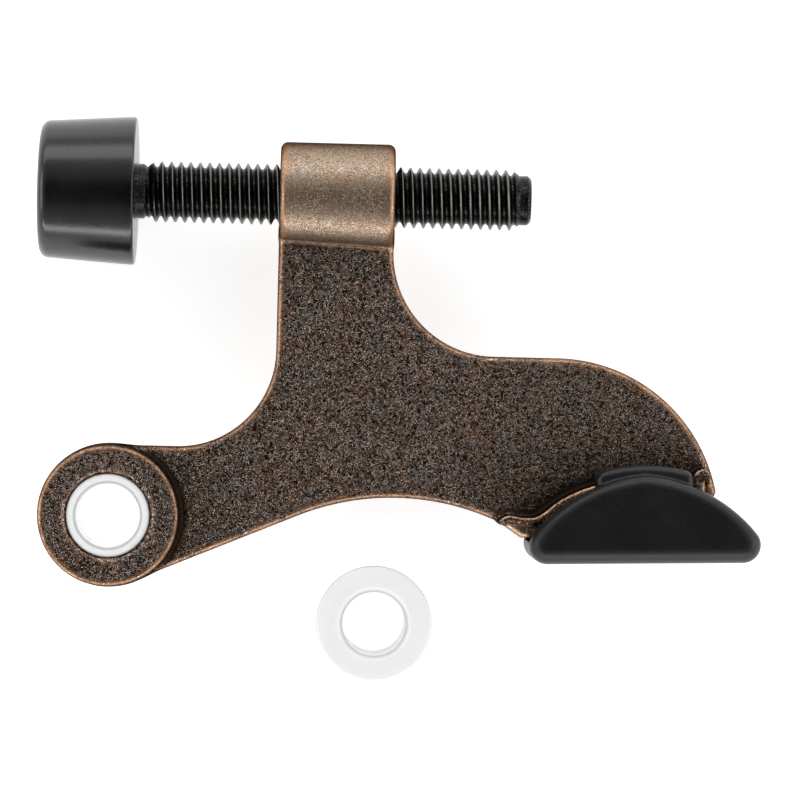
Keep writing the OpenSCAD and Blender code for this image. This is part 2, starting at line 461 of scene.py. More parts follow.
@dataclass(frozen=True)
class Outline:
    """A closed outline of lines and arcs, in order."""

    parts: tuple

    @classmethod
    def through(cls, *items: object) -> "Outline":
        """Closes arcs and single points into an outline, with a line wherever two don't meet.

        Args:
            items: arcs, and points as pairs of numbers, in order.

        Returns:
            The outline.
        """
        parts, last, first = [], None, None
        for item in items:
            begin = item.at(item.a0) if isinstance(item, Arc) else item
            if last is not None and math.dist(last, begin) > 1e-6:
                parts.append(Line(last, begin))
            if isinstance(item, Arc):
                parts.append(item)
                last = item.at(item.a1)
            else:
                last = item
            first = first or begin
        if math.dist(last, first) > 1e-6:
            parts.append(Line(last, first))
        return cls(tuple(parts))

    def signed(self, x: np.ndarray, y: np.ndarray) -> np.ndarray:
        """Distance from each point to the outline, below zero inside it.

        Args:
            x: the points' places across.
            y: their places up.

        Returns:
            The distances.
        """
        x, y = np.broadcast_arrays(x, y)
        shape, x, y = x.shape, x.ravel(), y.ravel()
        near = np.full(x.shape, np.inf)
        for part in self.parts:
            np.minimum(near, part.distance(x, y), out=near)
        corners = [p for part in self.parts for p in part.points()]
        inside = np.zeros(x.shape, bool)
        for (ax, ay), (bx, by) in zip(corners, corners[1:] + corners[:1]):
            if ay == by:
                continue
            spans = (ay > y) != (by > y)
            inside ^= spans & (x < ax + (y - ay) * (bx - ax) / (by - ay))
        return np.where(inside, -near, near).reshape(shape)


def smooth_path(points: list[Point2], steps: int = 8) -> list[Point2]:
    """Rounds a path through its points.

    Args:
        points: the path's points.
        steps: how many points each stretch becomes.

    Returns:
        The rounded path.
    """
    p = np.array([points[0], *points, points[-1]], float)
    made = []
    for i in range(len(points) - 1):
        a, b, c, d = p[i : i + 4]
        for t in np.arange(steps) / steps:
            made.append(tuple(0.5 * (2 * b + (c - a) * t + (2 * a - 5 * b + 4 * c - d) * t**2
                                     + (3 * b - a - 3 * c + d) * t**3)))
    return made + [tuple(points[-1])]


def path_distance(path: list[Point2], x: np.ndarray, y: np.ndarray) -> np.ndarray:
    """Distance from each point to a path.

    Args:
        path: the path's points.
        x: the points' places across.
        y: their places up.

    Returns:
        The distances.
    """
    near = np.full(np.broadcast(x, y).shape, np.inf)
    for start, end in zip(path, path[1:]):
        near = np.minimum(near, Line(start, end).distance(x, y))
    return near


def rounded(a: np.ndarray, b: np.ndarray, r: object) -> np.ndarray:
    """Where two shapes cross, with their shared edge rounded to radius r."""
    p, q = a + r, b + r
    return np.hypot(np.maximum(p, 0), np.maximum(q, 0)) + np.minimum(np.maximum(p, q), 0) - r


def joined(a: np.ndarray, b: np.ndarray, width: float) -> np.ndarray:
    """Two shapes together, with a fillet about half as large as width where they meet."""
    near = np.maximum(width - np.abs(a - b), 0) / width
    return np.minimum(a, b) - near * near * width / 4


def cut(a: np.ndarray, hole: np.ndarray, width: float = 0.12) -> np.ndarray:
    """A shape less a hole, with the hole's rim eased over width."""
    return -joined(-a, hole, width)


@dataclass
class Skin:
    """A shape's surface as a closed mesh of quads that lie on it."""

    distance: Distance
    low: tuple[float, float, float]
    high: tuple[float, float, float]
    step: float
    points: np.ndarray = field(init=False)
    quads: np.ndarray = field(init=False)

    def __post_init__(self) -> None:
        """Makes the mesh."""
        axes = [np.arange(a, b + self.step, self.step) for a, b in zip(self.low, self.high)]
        values = self.distance(*np.meshgrid(*axes, indexing="ij", sparse=True)).astype(np.float32)
        self._net(values, axes)
        for _ in range(2):
            self._settle()

    def _net(self, values: np.ndarray, axes: list[np.ndarray]) -> None:
        """Puts one point in each cell that the surface crosses, and joins them.

        Args:
            values: the distance at each corner of the cells.
            axes: the corners' places along X, Y and Z.
        """
        inside = values < 0
        cells = tuple(n - 1 for n in values.shape)
        corners = list(product((0, 1), repeat=3))
        count = np.zeros(cells, np.int8)
        for i, j, k in corners:
            count += inside[i : i + cells[0], j : j + cells[1], k : k + cells[2]]
        active = (count > 0) & (count < 8)
        where = np.argwhere(active)
        number = np.full(cells, -1, np.int32)
        number[active] = np.arange(len(where))
        total, hits = np.zeros((len(where), 3)), np.zeros(len(where))
        for a, b in product(corners, corners):
            if sum(q - p for p, q in zip(a, b)) != 1 or any(q < p for p, q in zip(a, b)):
                continue
            ia, ib = where + a, where + b
            va, vb = values[tuple(ia.T)], values[tuple(ib.T)]
            crossed = (va < 0) != (vb < 0)
            share = np.where(crossed, va / np.where(crossed, va - vb, 1), 0)[:, None]
            pa = np.stack([axes[n][ia[:, n]] for n in range(3)], 1)
            pb = np.stack([axes[n][ib[:, n]] for n in range(3)], 1)
            total += np.where(crossed[:, None], pa + share * (pb - pa), 0)
            hits += crossed
        self.points = total / hits[:, None]
        faces = []
        for axis in range(3):
            u, v = (axis + 1) % 3, (axis + 2) % 3
            first = np.take(inside, range(cells[axis]), axis)
            second = np.take(inside, range(1, cells[axis] + 1), axis)
            edges = np.argwhere(first != second)
            edges = edges[(edges[:, u] > 0) & (edges[:, v] > 0) & (edges[:, u] < cells[u])
                          & (edges[:, v] < cells[v])]
            ring = []
            for du, dv in ((0, 0), (-1, 0), (-1, -1), (0, -1)):
                cell = edges.copy()
                cell[:, u] += du
                cell[:, v] += dv
                ring.append(number[tuple(cell.T)])
            quad = np.stack(ring, 1)
            outward = first[tuple(edges.T)]
            quad[~outward] = quad[~outward][:, ::-1]
            faces.append(quad)
        self.quads = np.concatenate(faces)

    def _slope(self, reach: float = 0.02) -> np.ndarray:
        """The direction in which the distance grows, at each point.

        Args:
            reach: how far from each point the distance is taken.

        Returns:
            One direction for each point.
        """
        total = np.zeros_like(self.points)
        for corner in ((1, 1, 1), (1, -1, -1), (-1, 1, -1), (-1, -1, 1)):
            moved = self.points + np.array(corner) * reach
            total += np.array(corner) * self.distance(*moved.T)[:, None]
        return total / (4 * reach)

    def _settle(self) -> None:
        """Moves each point on to the surface."""
        slope = self._slope()
        size = np.maximum((slope**2).sum(1), 0.3)
        move = slope * (self.distance(*self.points.T) / size)[:, None]
        length = np.linalg.norm(move, axis=1, keepdims=True)
        self.points -= move * np.minimum(1, 0.6 * self.step / np.maximum(length, 1e-9))

    def facing(self) -> np.ndarray:
        """The way that the surface faces at each point."""
        slope = self._slope()
        return slope / np.maximum(np.linalg.norm(slope, axis=1, keepdims=True), 1e-9)

    def bend(self, reach: float) -> np.ndarray:
        """How much the surface stands out within a reach: above zero on an edge, below zero in a corner.

        Args:
            reach: how far from each point to look.

        Returns:
            One value for each point.
        """
        total = np.zeros(len(self.points))
        for axis, side in product(range(3), (-reach, reach)):
            moved = self.points.copy()
            moved[:, axis] += side
            total += self.distance(*moved.T)
        return total / (6 * reach)


# ---------------------------------------------------------------- meshes


def in_metres(name: str, points: np.ndarray, faces: list, place: Optional[Matrix] = None) -> bpy.types.Mesh:
    """Makes a mesh from points in millimetres.

    Args:
        name: the mesh's name.
        points: its points.
        faces: the points' numbers of each face.
        place: where it goes in the part's frame.

    Returns:
        The mesh, in metres.
    """
    mesh = bpy.data.meshes.new(name)
    mesh.from_pydata((np.asarray(points) * MM).tolist(), [], faces)
    if place is not None:
        mesh.transform(place)
    mesh.update()
    return mesh


def shaded(mesh: bpy.types.Mesh, sharp_deg: float) -> None:
    """Shades a mesh smooth, apart from edges that are sharper than an angle."""
    mesh.polygons.foreach_set("use_smooth", [True] * len(mesh.polygons))
    mesh.set_sharp_from_angle(angle=math.radians(sharp_deg))


def mark(mesh: bpy.types.Mesh, name: str, values: np.ndarray) -> None:
    """Stores a value from 0 to 1 at each point of a mesh, for its finish to read."""
    mesh.attributes.new(name, "FLOAT", "POINT").data.foreach_set(
        "value", np.clip(values, 0, 1).astype(np.float32))


def places_mm(mesh: bpy.types.Mesh) -> np.ndarray:
    """The places of a mesh's points, in millimetres.

    Args:
        mesh: the mesh.

    Returns:
        One row of three numbers for each point.
    """
    flat = np.empty(len(mesh.vertices) * 3, np.float32)
    mesh.vertices.foreach_get("co", flat)
    return flat.reshape(-1, 3) / MM


def mended(mesh: bpy.types.Mesh) -> bpy.types.Mesh:
    """Merges a mesh's doubles, drops what has no area and turns its faces outwards.

    Args:
        mesh: the mesh.

    Returns:
        The same mesh.
    """
    bm = bmesh.new()
    bm.from_mesh(mesh)
    bmesh.ops.remove_doubles(bm, verts=bm.verts, dist=0.002 * MM)
    bmesh.ops.dissolve_degenerate(bm, edges=bm.edges, dist=0.001 * MM)
    bmesh.ops.recalc_face_normals(bm, faces=bm.faces)
    bm.to_mesh(mesh)
    bm.free()
    return mesh


def turned(profile: list[Point2], segments: int, ring: bool = False) -> tuple[np.ndarray, list]:
    """Turns a profile round the X axis.

    Args:
        profile: pairs of place along the axis and radius. Without ring, the first and last lie on the axis.
        segments: how many sides the turned shape has.
        ring: whether the profile is a closed loop, as on a bushing.

    Returns:
        The points in millimetres, and the faces.
    """
    angles = np.arange(segments) * TURN / segments
    body = profile if ring else profile[1:-1]
    points = [(x, r * math.cos(a), r * math.sin(a)) for x, r in body for a in angles]
    rows = len(body)
    faces = []
    for i in range(rows if ring else rows - 1):
        a, b = i * segments, (i + 1) % rows * segments
        faces += [(a + j, a + (j + 1) % segments, b + (j + 1) % segments, b + j) for j in range(segments)]
    if not ring:
        for tip, base in ((profile[0], 0), (profile[-1], (rows - 1) * segments)):
            points.append((tip[0], 0, 0))
            faces += [(base + j, base + (j + 1) % segments, len(points) - 1) for j in range(segments)]
    return np.array(points), faces


def eased(profile: list[Point2], radius: float, steps: int = 4, ring: bool = False) -> list[Point2]:
    """Rounds a profile's corners.

    Args:
        profile: the profile's corners.
        radius: how far from each corner the rounding starts, at most.
        steps: how many stretches each rounding has.
        ring: whether the profile is a closed loop.

    Returns:
        The rounded profile.
    """
    p = [np.array(c, float) for c in profile]
    count = len(p)
    made = []
    for i, corner in enumerate(p):
        if not ring and i in (0, count - 1):
            made.append(tuple(corner))
            continue
        before, after = p[i - 1] - corner, p[(i + 1) % count] - corner
        lb, la = np.linalg.norm(before), np.linalg.norm(after)
        reach = min(radius, lb * 0.45, la * 0.45)
        start, end = corner + before / lb * reach, corner + after / la * reach
        for t in np.linspace(0, 1, steps + 1):
            made.append(tuple((1 - t) ** 2 * start + 2 * t * (1 - t) * corner + t * t * end))
    return made


def arc_profile(centre: Point2, radius: float, a0: float, a1: float, steps: int = 10) -> list[Point2]:
    """The points of an arc, ends included, from angle a0 to a1 in degrees."""
    arc = Arc(centre, radius, a0, a1, steps)
    return arc.points() + [arc.at(a1)]


def show(name: str, mesh: bpy.types.Mesh, finish: bpy.types.Material, body: str, slot: str,
         *nodes: str) -> bpy.types.Object:
    """Puts a finished piece in the scene.

    Args:
        name: the piece's name.
        mesh: its mesh, in metres, already in place.
        finish: its material.
        body: the CAD body that it moves with.
        slot: the record's material slot; not used.
        nodes: the CAD nodes that it stands for.

    Returns:
        The object.
    """
    mesh.materials.clear()
    mesh.materials.append(finish)
    piece = bpy.data.objects.new(name, mesh)
    bpy.context.scene.collection.objects.link(piece)
    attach(piece, body)
    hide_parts(*nodes)
    low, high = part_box(nodes[0])
    size = ", ".join(f"{(b - a) / MM:.1f}" for a, b in zip(low, high))
    log.info("%s: %d faces, in the place of %s (%s mm)", name, len(mesh.polygons), nodes[0], size)
    return piece


def middle_mm(node: str) -> Vector:
    """The middle of a CAD node's box, in millimetres."""
    low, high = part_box(node)
    return (low + high) / (2 * MM)


def mount_mm(name: str) -> Vector:
    """A mount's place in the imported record, in millimetres.

    Args:
        name: the mount's name.

    Returns:
        Its place.
    """
    for mount in frame["record"]["mounts"]:
        if mount["name"] == name:
            return Vector(mount["pos_m"]) / MM
    raise KeyError(name)


# ---------------------------------------------------------------- the foot, shared by casting and pad


@dataclass
class FootFrame:
    """The foot's own frame: x runs along its contact face, y away from it."""

    tilt_deg: float = 1.7
    cheek_r: float = 19.6
    cheek_h: float = 11.0
    sole_t: float = 2.5
    core_half: float = 6.6
    lip_half_len: float = 6.3
    lip_h: float = 1.8
    plate_half: float = 2.5

    def origin(self) -> Vector:
        """The middle of the contact face, in millimetres."""
        return mount_mm("foot_face")

    def place(self) -> Matrix:
        """Moves a mesh in metres from the foot's frame to the part's."""
        return Matrix.Translation(self.origin() * MM) @ Matrix.Rotation(math.radians(self.tilt_deg), 4, "Z")

    def to_foot(self, x: np.ndarray, y: np.ndarray) -> tuple[np.ndarray, np.ndarray]:
        """Gives points of the part's frame in the foot's.

        Args:
            x: the points' places across.
            y: their places up.

        Returns:
            Their places along the contact face and away from it.
        """
        at, turn = self.origin(), math.radians(self.tilt_deg)
        dx, dy = x - at.x, y - at.y
        return dx * math.cos(turn) + dy * math.sin(turn), dy * math.cos(turn) - dx * math.sin(turn)

    @property
    def cheek_c(self) -> Point2:
        """The centre of the cheeks' round top."""
        return 0.0, self.cheek_h - self.cheek_r

    def from_centre(self, x: np.ndarray, y: np.ndarray) -> np.ndarray:
        """Each point's distance from the cheeks' centre."""
        return np.hypot(x - self.cheek_c[0], y - self.cheek_c[1])

    def core(self) -> Outline:
        """The metal foot's outline inside the rubber: a proud rim, and a lower heel.

        Returns:
            The outline, in the foot's frame.
        """
        rim, heel = self.cheek_r + 0.3, self.cheek_r - 1.2
        return Outline.through((-12.2, self.sole_t + 0.1), (-13.4, 5.6),
                               Arc(self.cheek_c, rim - 0.05, 126, 74),
                               (6.9, 12.0), (8.0, 12.0), Arc(self.cheek_c, heel, 65, 44),
                               (13.8, self.sole_t + 0.1))

    def pocket(self, x: np.ndarray, y: np.ndarray) -> np.ndarray:
        """The space in the rubber that the metal foot fills, seen flat.

        Args:
            x: the points' places across.
            y: their places up.

        Returns:
            The distances from its outline, below zero inside it.
        """
        rim, heel = self.cheek_r + 0.9, self.cheek_r - 1.2
        outline = Outline.through((-14.55, self.sole_t), (-19.05, 5.6), (-18.4, 6.65), (-14, 6.65),
                                  Arc(self.cheek_c, rim + 0.05, 124, 72), (7.1, 12.35), (8.25, 12.1),
                                  Arc(self.cheek_c, heel + 0.05, 65, 44), (13.85, self.sole_t))
        return outline.signed(x, y)


# ---------------------------------------------------------------- the pieces


@dataclass
class CastBody:
    """The die casting: hinge-pin eye, arm, neck, threaded boss, shoulder and the metal foot."""

    foot: FootFrame
    plate_half: float = 2.5
    plate_round: float = 0.8
    eye_mid_r: float = 9.3
    eye_face_r: float = 9.15
    eye_half: float = 5.5
    eye_round: float = 0.65
    eye_bore_r: float = 5.5
    eye_edge_r: float = 9.15
    eye_lead: float = 0.5
    boss_r: float = 6.9
    boss_from: float = 21.3
    boss_to: float = 36.3
    boss_round: float = 0.9
    boss_skew: float = 0.33
    boss_bore_r: float = 4.06
    boss_lead: float = 0.45
    flash_r: float = 0.22
    # how wide the fillets are where the eye, the boss and the foot meet the plate
    eye_fillet: float = 0.7
    boss_fillet: float = 0.4
    foot_fillet: float = 0.5
    inner_r: float = 12.8
    outer_r: float = 13.4
    shoulder_y: float = 21.85
    shoulder_r: float = 21.45
    shoulder_x: float = 58.2
    arch_r: float = 33.0
    arch_x: float = 37.5
    arch_y: float = 3.1
    # the plate's two corners inside the rubber, from the middle of the contact face
    toe: Point2 = (-16.0, 2.8)
    heel: Point2 = (9.1, 8.7)
    wall_half: float = 0.45
    grid: float = 0.29

    def outline(self) -> Outline:
        """The plate's outline, from the top of the eye, round it, and on to the neck.

        Returns:
            The outline, in the part's frame.
        """
        screw_y = middle_mm("adjusting_screw").y
        arch_c = (self.arch_x, self.arch_y - self.arch_r)
        slope = math.degrees(math.atan2(arch_c[0], -arch_c[1])
                             - math.acos((self.eye_edge_r + self.arch_r) / math.hypot(*arch_c)))
        foot = self.foot.origin()
        heel = (foot.x + self.heel[0], foot.y + self.heel[1])
        toe = (foot.x + self.toe[0], foot.y + self.toe[1])
        return Outline.through(
            Arc((0, 0), self.eye_edge_r, 90, 270 + slope),
            Arc(arch_c, self.arch_r, 90 + slope, 66),
            toe, (toe[0] + 2, toe[1]), (heel[0], heel[1] - 5), heel,
            Arc((self.shoulder_x, self.shoulder_y - self.shoulder_r), self.shoulder_r, 12, 90),
            Arc((self.boss_to + self.outer_r, self.shoulder_y + self.outer_r), self.outer_r, 270, 180),
            (self.boss_to, screw_y), (self.boss_from, screw_y),
            Arc((self.boss_from - self.inner_r, self.eye_edge_r + self.inner_r), self.inner_r, 0, -90))

    def off_boss(self, x: np.ndarray, y: np.ndarray, z: np.ndarray) -> tuple[np.ndarray, np.ndarray]:
        """Distance from each point to the boss's round wall and to its ends.

        Args:
            x: the points' places along the screw.
            y: their places across it.
            z: their heights.

        Returns:
            The two distances. The wall's underside leans, which sets the crease above the neck at a slant.
        """
        screw_y = middle_mm("adjusting_screw").y
        half = (self.boss_to - self.boss_from) / 2
        along = (x - self.boss_from - half) / half
        under = np.clip((screw_y - y) / self.boss_r, 0, 1)
        radius = self.boss_r + self.boss_skew * np.clip(along, -1, 1) * under
        return np.hypot(y - screw_y, z) - radius, (np.abs(along) - 1) * half

    def crease(self) -> list[Point2]:
        """The trimmed flash that runs along the crease above the neck, seen flat.

        Returns:
            Its two ends.
        """
        screw_y = middle_mm("adjusting_screw").y
        ends = []
        for along in (-1, 1):
            radius = self.boss_r + 0.93 * self.boss_skew * along
            ends.append(((self.boss_from + self.boss_to) / 2 + 6.3 * along,
                         screw_y - 0.08 - math.sqrt(radius**2 - self.plate_half**2)))
        return ends

    def shape(self) -> Distance:
        """The whole casting as a distance.

        Returns:
            The distance, in the part's frame.
        """
        outline, core, foot = self.outline(), self.foot.core(), self.foot
        screw_y = middle_mm("adjusting_screw").y
        draft = (self.eye_mid_r - self.eye_face_r) / self.eye_half
        # the flange's wall: an S from its flared toe to the lips' notch, and a stub on the far side
        crease = self.crease()
        wall = smooth_path([(-18.5, 5.5), (-17.65, 5.88), (-16.6, 5.72), (-15.6, 5.56), (-14.5, 5.56),
                            (-13.65, 5.8), (-12.62, 6.45), (-11.17, 7.58), (-9.49, 8.52), (-7.8, 9.24),
                            (-6.43, 9.66)])
        stub = smooth_path([(6.85, 10.3), (7.15, 11.2), (7.65, 11.8), (8.15, 11.35), (8.35, 10.6)])

        def distance(x: np.ndarray, y: np.ndarray, z: np.ndarray) -> np.ndarray:
            """Distance from each point to the casting's surface.

            Args:
                x: the points' places along X.
                y: their places along Y.
                z: their heights.

            Returns:
                The distances.
            """
            deep = np.abs(z)
            plate = rounded(outline.signed(x, y), deep - self.plate_half, self.plate_round)
            out = np.hypot(x, y)
            eye = rounded(out - self.eye_mid_r + draft * deep, deep - self.eye_half, self.eye_round)
            body = joined(plate, eye, self.eye_fillet)
            hole = np.minimum(out - self.eye_bore_r,
                              (out - self.eye_bore_r - deep + self.eye_half - self.eye_lead) * SLANT)
            body = cut(body, hole, 0.2)
            round_screw = np.hypot(y - screw_y, z)
            wall_off, end_off = self.off_boss(x, y, z)
            off = np.minimum(end_off, 3.0)
            boss = rounded(wall_off, off, self.boss_round)
            body = joined(body, boss, self.boss_fillet)
            flash = np.hypot(path_distance(crease, x, y), deep - self.plate_half - 0.02) - self.flash_r
            body = np.minimum(body, flash)
            fx, fy = foot.to_foot(x, y)
            metal = rounded(core.signed(fx, fy), deep - foot.core_half, 0.4)
            notch = np.maximum(np.maximum(np.abs(fx) - foot.lip_half_len - 0.05,
                                          foot.cheek_r - 0.65 - foot.from_centre(fx, fy)),
                               foot.plate_half - deep)
            metal = cut(metal, notch)
            for path in (wall, stub):
                metal = np.minimum(metal, rounded(path_distance(path, fx, fy) - self.wall_half,
                                                  deep - foot.core_half, 0.35))
            body = joined(body, metal, self.foot_fillet)
            off_bore = round_screw - self.boss_bore_r
            bore = np.minimum(off_bore, (off_bore - np.minimum(off, 0.3) - self.boss_lead) * SLANT)
            return cut(body, bore, 0.15)

        return distance

    def marks(self, skin: Skin) -> dict[str, np.ndarray]:
        """How the finish varies over the casting.

        Args:
            skin: the casting's surface.

        Returns:
            By name, a value from 0 to 1 at each point: how worn its edges are, with painted highlights on the
            flange's upper edge, the crease's flash and the foot's toe and heel; how dark its corners are with
            soot;
            how much painted shade it gets beside a wall and on the flange; how much it faces sideways, which
            the finish paints as shade; and how much hands polish it.
        """
        x, y, z = skin.points.T
        deep, out = np.abs(z), np.hypot(x, y)
        fx, fy = self.foot.to_foot(x, y)
        bend = skin.bend(1.0)
        wear_and_painted_highlights = bend * 2.2
        # the eye's bore and the foot's flange keep most of their dark finish
        on_foot = (self.foot.from_centre(fx, fy) < 25) & (deep > self.plate_half + 0.2)
        wear_and_painted_highlights *= np.where((out < 6.6) | on_foot, 0.3, 1.0)
        # painted highlight: only the flange's upper edge, the one facing +Y, is painted in the bright copper
        # of the worn edges
        way = skin.facing()
        wear_and_painted_highlights = np.where(on_foot & (way[:, 1] > 0.25) & (np.abs(way[:, 2]) > 0.25) & (bend > 0.1), 0.75, wear_and_painted_highlights)
        # painted highlight: the trimmed flash along the crease is painted in the copper of the worn edges
        wear_and_painted_highlights = np.where((path_distance(self.crease(), x, y) < 0.3) & (deep < 3.2) & (deep > 2.4), 0.4, wear_and_painted_highlights)
        # painted highlight: on the front face only, the plate's edge beside the rubber at the foot's toe and
        # heel is painted bright copper
        toe = np.minimum.reduce([(5.15 - fy) / 0.4, (fx + 18.6) / 0.6, (-12.4 - fx) / 0.6])
        heel = 1.6 - np.hypot(fx - 8.4, (fy - 9.9) * 0.8) / 0.75
        wear_and_painted_highlights = np.maximum(wear_and_painted_highlights, np.where(z > 0, np.maximum(np.clip(toe, 0, 0.95), np.clip(heel, 0, 0.8)), 0))
        # painted shade, in the soot colour, on the plate around the foot and beside the eye's wall, and on
        # the foot's flange
        near = np.minimum(self.foot.from_centre(fx, fy) - self.foot.cheek_r - 1.2,
                          (out - self.eye_mid_r) * 1.7)
        painted_shade_near_walls = np.where(deep < self.plate_half + 0.3, np.exp(-np.maximum(near, 0) / 2.6), 0.8 * on_foot)
        wall_off, end_off = self.off_boss(x, y, z)
        # the boss's ends are rubbed in a wide band
        band = np.clip(1.5 - np.abs(end_off), 0, 1) * 0.65
        wear_and_painted_highlights = np.where(np.abs(wall_off) < 0.5, np.maximum(wear_and_painted_highlights, band), wear_and_painted_highlights)
        # the side value is painted as shade on faces that turn sideways
        flat = np.abs(way[:, 2])
        return {"wear_and_painted_highlights": wear_and_painted_highlights, "crease": -bend * 2.2, "painted_shade_near_walls": painted_shade_near_walls * (1 - np.clip(wear_and_painted_highlights * 2, 0, 1)),
                "side": (0.7 - flat) / 0.5, "handled": 1 - np.maximum(wall_off, end_off) / 0.3}

    def build(self, finish: bpy.types.Material) -> None:
        """Makes the casting, with its worn edges, dark corners, painted highlights and painted shade as
        values on the mesh.

        Args:
            finish: the casting's material.
        """
        low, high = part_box("cast_body")
        edge = 2 * self.grid
        skin = Skin(self.shape(), tuple(v / MM - edge for v in low), tuple(v / MM + edge for v in high),
                    self.grid)
        mesh = in_metres("cast_body_casting", skin.points, skin.quads.tolist())
        for name, values in self.marks(skin).items():
            mark(mesh, name, values)
        shaded(mesh, 60)
        show("casting", mesh, finish, "casting", "antique_bronze", "cast_body")


@dataclass
class FootPad:
    """The rubber foot: two half-moon cheeks, a sole, and two lips hooked over the metal."""

    foot: FootFrame
    half_len: float = 15.0
    middle: float = -0.06
    half_depth: float = 9.7
    corner_r: float = 2.3
    flank_c: Point2 = (1.6, -9.2)
    top_round: float = 1.4
    sole_round: float = 2.3
    lip_half_depth: float = 8.0
    lip_round: float = 0.95
    grid: float = 0.25

    def cheek(self) -> Outline:
        """One cheek's outline: two round flanks that run into round lower corners and meet under the lip.

        Returns:
            The outline, in the foot's frame.
        """
        inner = self.half_len - self.corner_r
        across, down = self.flank_c
        flank_r = self.corner_r + math.hypot(inner + across, self.corner_r - down)
        meet = math.degrees(math.atan2(self.corner_r - down, inner + across))
        peak = math.degrees(math.acos(across / flank_r))
        left, right = self.middle + across, self.middle - across
        return Outline.through(Arc((self.middle - inner, self.corner_r), self.corner_r, 180 - meet, 270),
                               Arc((self.middle + inner, self.corner_r), self.corner_r, 270, 360 + meet),
                               Arc((right, down), flank_r, meet, peak),
                               Arc((left, down), flank_r, 180 - peak, 180 - meet))

    def shape(self) -> Distance:
        """The pad as a distance, in the foot's frame.

        Returns:
            The distance.
        """
        foot, cheek = self.foot, self.cheek()

        def distance(x: np.ndarray, y: np.ndarray, z: np.ndarray) -> np.ndarray:
            """Distance from each point to the pad's surface.

            Args:
                x: the points' places along X.
                y: their places along Y.
                z: their heights.

            Returns:
                The distances.
            """
            deep = np.abs(z)
            up = np.clip((y - 0.8) / 5.0, 0, 1)
            radius = self.sole_round + (self.top_round - self.sole_round) * up * up * (3 - 2 * up)
            pad = rounded(cheek.signed(x, y), deep - self.half_depth, radius)
            out = foot.from_centre(x, y)
            ring = rounded(np.abs(out - foot.cheek_r - 0.5) - 1.2, np.abs(x) - foot.lip_half_len,
                           self.lip_round)
            lip = rounded(ring, deep - self.lip_half_depth, self.lip_round)
            pad = joined(pad, lip, 0.35)
            through = np.maximum(np.abs(out - foot.cheek_r - 0.6) - 1.2, np.abs(x) - foot.lip_half_len)
            pocket = np.maximum(foot.pocket(x, y), deep - foot.core_half - 0.05)
            pocket = np.maximum(pocket, -np.maximum(through, foot.plate_half + 0.05 - deep))
            slot = np.maximum(np.maximum(np.abs(x) - 2 * foot.lip_half_len, foot.sole_t - y),
                              deep - foot.plate_half - 0.05)
            return cut(pad, np.minimum(pocket, slot), 0.1)

        return distance

    def build(self, finish: bpy.types.Material) -> None:
        """Makes the pad.

        Args:
            finish: the pad's material.
        """
        low = (-self.half_len - 0.6, -0.6, -self.half_depth - 0.6)
        high = (self.half_len + 0.6, self.foot.cheek_h + self.foot.lip_h + 1.0, self.half_depth + 0.6)
        skin = Skin(self.shape(), low, high, self.grid)
        mesh = in_metres("foot_pad_rubber", skin.points, skin.quads.tolist(), self.foot.place())
        shaded(mesh, 60)
        show("foot_rubber_pad", mesh, finish, "casting", "foot_rubber", "foot_pad")


